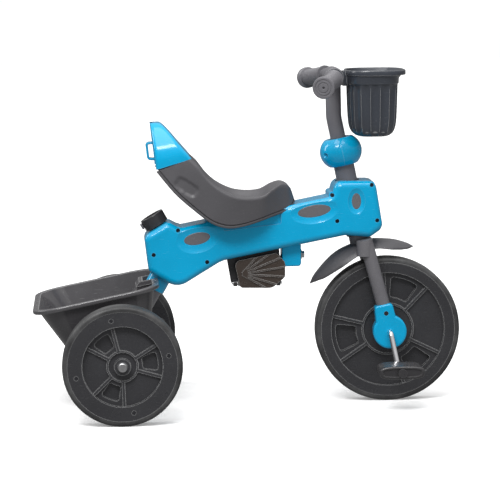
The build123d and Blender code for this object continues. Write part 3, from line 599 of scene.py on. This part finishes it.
# Distance from the inner end and radius, at the flange and at the ringed end face
GRIP_FLANGE = [(0.0, 11.2), (0.0, 15.6), (0.9, 16.5), (3.6, 16.5), (5.0, 14.4)]
GRIP_END = [
    (90.4, 14.2), (91.2, 17.9), (92.2, 19.0), (98.2, 19.0), (99.4, 18.3), (99.8, 17.2), (99.8, 15.0),
    (98.7, 14.5), (98.7, 12.6), (99.8, 12.1), (99.8, 10.0), (98.7, 9.5), (98.7, 7.8), (99.8, 7.3),
    (99.8, 2.6), (99.2, 2.0), (96.0, 2.0), (96.0, 0.2),
]


def lathe(bm, foot, axis, profile, steps=72):
    """Turns a profile of (distance, radius) round an axis from foot."""
    axis = Vector(axis).normalized()
    side = axis.orthogonal().normalized()
    other = axis.cross(side)
    rings = []
    for along, radius in profile:
        centre = Vector(foot) + axis * along
        ring = []
        for k in range(steps):
            a = 2 * pi * k / steps
            ring.append(tuple(centre + side * (radius * cos(a)) + other * (radius * sin(a))))
        rings.append(ring)
    loft_rings(bm, rings)


def build_grip(side_name, side):
    profile = list(GRIP_FLANGE)
    for k in range(GRIP_RIBS):
        start = RIB_FIRST + k * RIB_PITCH
        profile += [(start + along, radius) for along, radius in RIB_SHAPE]
    foot = (GRIP_IN[0], side * GRIP_IN[1], GRIP_IN[2])
    axis = (GRIP_OUT[0] - GRIP_IN[0], side * (GRIP_OUT[1] - GRIP_IN[1]), GRIP_OUT[2] - GRIP_IN[2])
    bm = bmesh.new()
    lathe(bm, foot, axis, profile + GRIP_END)
    grip = mesh_object("grip_sleeve_" + side_name, bm, "grey_plastic", "steering", 32)
    grip.data.materials[0] = BAR_GREY
    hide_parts("grip_" + side_name)


# ------------------------------------------------------------------ pedals

PEDAL_TREADS = 5
PEDAL_END = 10.0      # plain length at each end, before the treads
PEDAL_POINTS = 96
END_POWER = 3.4
TREAD_POWER = 3.0
# Inset along the pedal and shrink of the outline, from the sunk end face outwards
PEDAL_FACE = [
    (2.2, 9.0), (2.2, 6.2), (1.6, 5.6), (0.2, 5.2), (0.0, 4.4), (0.4, 2.4), (1.6, 0.8), (4.0, 0.0),
    (9.0, 0.0),
]
# Share of the tread pitch and depth of the groove there
TREAD_GROOVE = [(0.06, 0.0), (0.14, 1.7), (0.34, 2.0), (0.42, 0.2), (0.94, 0.0)]


def pedal_ring(cx, y, cz, half_x, half_z, power):
    outline = superellipse(0.0, half_x, half_z, power, PEDAL_POINTS)
    return [(cx + x, y, cz + z) for x, z, _, _ in outline]


def pedal_end(centre, half, inset, shrink, direction):
    """One ring of the pedal's inner (-1) or outer (1) end."""
    y = centre[1] + direction * (half[1] - inset)
    return pedal_ring(centre[0], y, centre[2], half[0] - shrink, half[2] - shrink * 0.8, END_POWER)


def build_pedal(side):
    low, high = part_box("pedal_" + side)
    centre = cx, cy, cz = [(a + b) / 2 / MM for a, b in zip(low, high)]
    half = half_x, half_y, half_z = [(b - a) / 2 / MM for a, b in zip(low, high)]
    rings = [pedal_end(centre, half, inset, shrink, -1) for inset, shrink in PEDAL_FACE]
    pitch = (2 * half_y - 2 * PEDAL_END) / PEDAL_TREADS
    for k in range(PEDAL_TREADS):
        start = -half_y + PEDAL_END + k * pitch
        for share, cut in TREAD_GROOVE:
            y = cy + start + share * pitch
            rings.append(pedal_ring(cx, y, cz, half_x - cut * 0.8, half_z - cut, TREAD_POWER))
    rings += [pedal_end(centre, half, inset, shrink, 1) for inset, shrink in reversed(PEDAL_FACE)]
    bm = bmesh.new()
    loft_rings(bm, rings)
    pedal = mesh_object("pedal_tread_" + side, bm, "black_plastic", "pedal_block_" + side, 35)
    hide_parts("pedal_" + side)


# ------------------------------------------------------------------ floor, light, camera

CAM_TARGET = Vector((0.0074, 0.0, 0.269))
CAM_AZIMUTH = radians(-3.17)
CAM_ELEVATION = radians(6.28)
CAM_ROLL = radians(-0.64)
CAM_DISTANCE = 4.9018
CAM_LENS = 200.6
CAM_SENSOR = 36
CAM_CLIP = 60


def build_camera():
    flat = cos(CAM_ELEVATION)
    back = Vector((sin(CAM_AZIMUTH) * flat, -cos(CAM_AZIMUTH) * flat, sin(CAM_ELEVATION)))
    level = Vector((cos(CAM_AZIMUTH), sin(CAM_AZIMUTH), 0))
    upright = back.cross(level)
    right = cos(CAM_ROLL) * level + sin(CAM_ROLL) * upright
    up = -sin(CAM_ROLL) * level + cos(CAM_ROLL) * upright
    place = CAM_TARGET + back * CAM_DISTANCE
    data = bpy.data.cameras.new("camera")
    data.lens = CAM_LENS
    data.sensor_width = CAM_SENSOR
    data.clip_end = CAM_CLIP
    camera = bpy.data.objects.new("camera", data)
    camera.matrix_world = Matrix((
        (right.x, up.x, back.x, place.x),
        (right.y, up.y, back.y, place.y),
        (right.z, up.z, back.z, place.z),
        (0, 0, 0, 1)))
    bpy.context.scene.collection.objects.link(camera)
    bpy.context.scene.camera = camera


# Name, place, aim, size, watts, shown in reflections
AREA_LIGHTS = [
    ("key", (-0.7, -2.0, 2.3), (0, 0, 0.3), (1.5, 0.6), 50, True),
    ("front fill", (0.9, -3.2, 0.7), (0, 0, 0.25), (2.2, 0.9), 26, False),
    ("rear strip", (-2.0, 0.6, 1.3), (-0.2, 0, 0.3), (0.3, 1.2), 10, True),
]
SUN_STRENGTH = 1.7
SUN_SPREAD = 50
SUN_TILT = (14, -8)


def area_light(name, place, aim, size, watts, mirrored):
    data = bpy.data.lights.new(name, "AREA")
    data.shape = "RECTANGLE"
    data.size, data.size_y = size
    data.energy = watts
    lamp = bpy.data.objects.new(name, data)
    lamp.location = place
    lamp.rotation_euler = (Vector(aim) - Vector(place)).to_track_quat("-Z", "Y").to_euler()
    lamp.visible_glossy = mirrored
    bpy.context.scene.collection.objects.link(lamp)


SKY_BANDS = [(0.25, 0.36), (0.50, 0.17), (0.64, 0.32), (0.90, 1.0)]   # place from below, level
SKY_STRENGTH = 1.0
SKY_SEEN = 1.02       # strength of the plain white the camera sees
FLOOR_GLOW = 0.20
FLOOR_HALF = 14
FLOOR_CELLS = 8


def build_world():
    """Plain white to the camera; grey bands of sky, brightest above, for light and reflections."""
    world = bpy.data.worlds.new("studio")
    world.use_nodes = True
    nodes, links = world.node_tree.nodes, world.node_tree.links
    out = nodes["World Output"]
    plain = nodes["Background"]
    plain.inputs["Color"].default_value = (1, 1, 1, 1)
    plain.inputs["Strength"].default_value = SKY_SEEN
    coords = nodes.new("ShaderNodeTexCoord")
    split = nodes.new("ShaderNodeSeparateXYZ")
    ramp = nodes.new("ShaderNodeValToRGB")
    ramp.color_ramp.elements[0].position = SKY_BANDS[0][0]
    ramp.color_ramp.elements[0].color = (*[SKY_BANDS[0][1]] * 3, 1)
    ramp.color_ramp.elements[1].position = SKY_BANDS[-1][0]
    ramp.color_ramp.elements[1].color = (*[SKY_BANDS[-1][1]] * 3, 1)
    for place, level in SKY_BANDS[1:-1]:
        ramp.color_ramp.elements.new(place).color = (level, level, level, 1)
    half = nodes.new("ShaderNodeMath")
    half.operation = "MULTIPLY_ADD"
    half.inputs[1].default_value = 0.5
    half.inputs[2].default_value = 0.5
    soft = nodes.new("ShaderNodeBackground")
    soft.inputs["Strength"].default_value = SKY_STRENGTH
    seen = nodes.new("ShaderNodeLightPath")
    mix = nodes.new("ShaderNodeMixShader")
    links.new(coords.outputs["Generated"], split.inputs[0])
    links.new(split.outputs["Z"], half.inputs[0])
    links.new(half.outputs[0], ramp.inputs[0])
    links.new(ramp.outputs["Color"], soft.inputs["Color"])
    links.new(seen.outputs["Is Camera Ray"], mix.inputs[0])
    links.new(soft.outputs[0], mix.inputs[1])
    links.new(plain.outputs[0], mix.inputs[2])
    links.new(mix.outputs[0], out.inputs["Surface"])
    bpy.context.scene.world = world


def build_studio():
    """White floor that catches the contact shadows but is left out of bounces, and the lights."""
    bm = bmesh.new()
    bmesh.ops.create_grid(bm, x_segments=FLOOR_CELLS, y_segments=FLOOR_CELLS, size=FLOOR_HALF)
    data = bpy.data.meshes.new("floor")
    bm.to_mesh(data)
    bm.free()
    plane = bpy.data.objects.new("floor", data)
    bpy.context.scene.collection.objects.link(plane)
    s = Shader("studio floor")
    paper = s.blend(s.spread(s.noise(3, 3, 0.5), 0.3, 0.7, 0, 1), *PAPER)
    s.bsdf.inputs["Emission Color"].default_value = (1, 1, 1, 1)
    s.bsdf.inputs["Emission Strength"].default_value = FLOOR_GLOW
    data.materials.append(s.done(paper, s.spread(s.noise(200, 2, 0.5), 0.3, 0.7, 0.75, 0.85)))
    plane.visible_diffuse = False
    plane.visible_glossy = False
    plane.visible_shadow = False
    build_world()
    for settings in AREA_LIGHTS:
        area_light(*settings)
    sun = bpy.data.lights.new("overhead", "SUN")
    sun.energy = SUN_STRENGTH
    sun.angle = radians(SUN_SPREAD)
    lamp = bpy.data.objects.new("overhead", sun)
    lamp.rotation_euler = (radians(SUN_TILT[0]), radians(SUN_TILT[1]), 0)
    bpy.context.scene.collection.objects.link(lamp)
    bpy.context.scene.view_settings.view_transform = "Standard"


finish_nodes()
build_basket()
build_seat()
build_back()
build_mudguard()
for side, sign in (("right", -1), ("left", 1)):
    build_grip(side, sign)
    build_pedal(side)
build_camera()
build_studio()
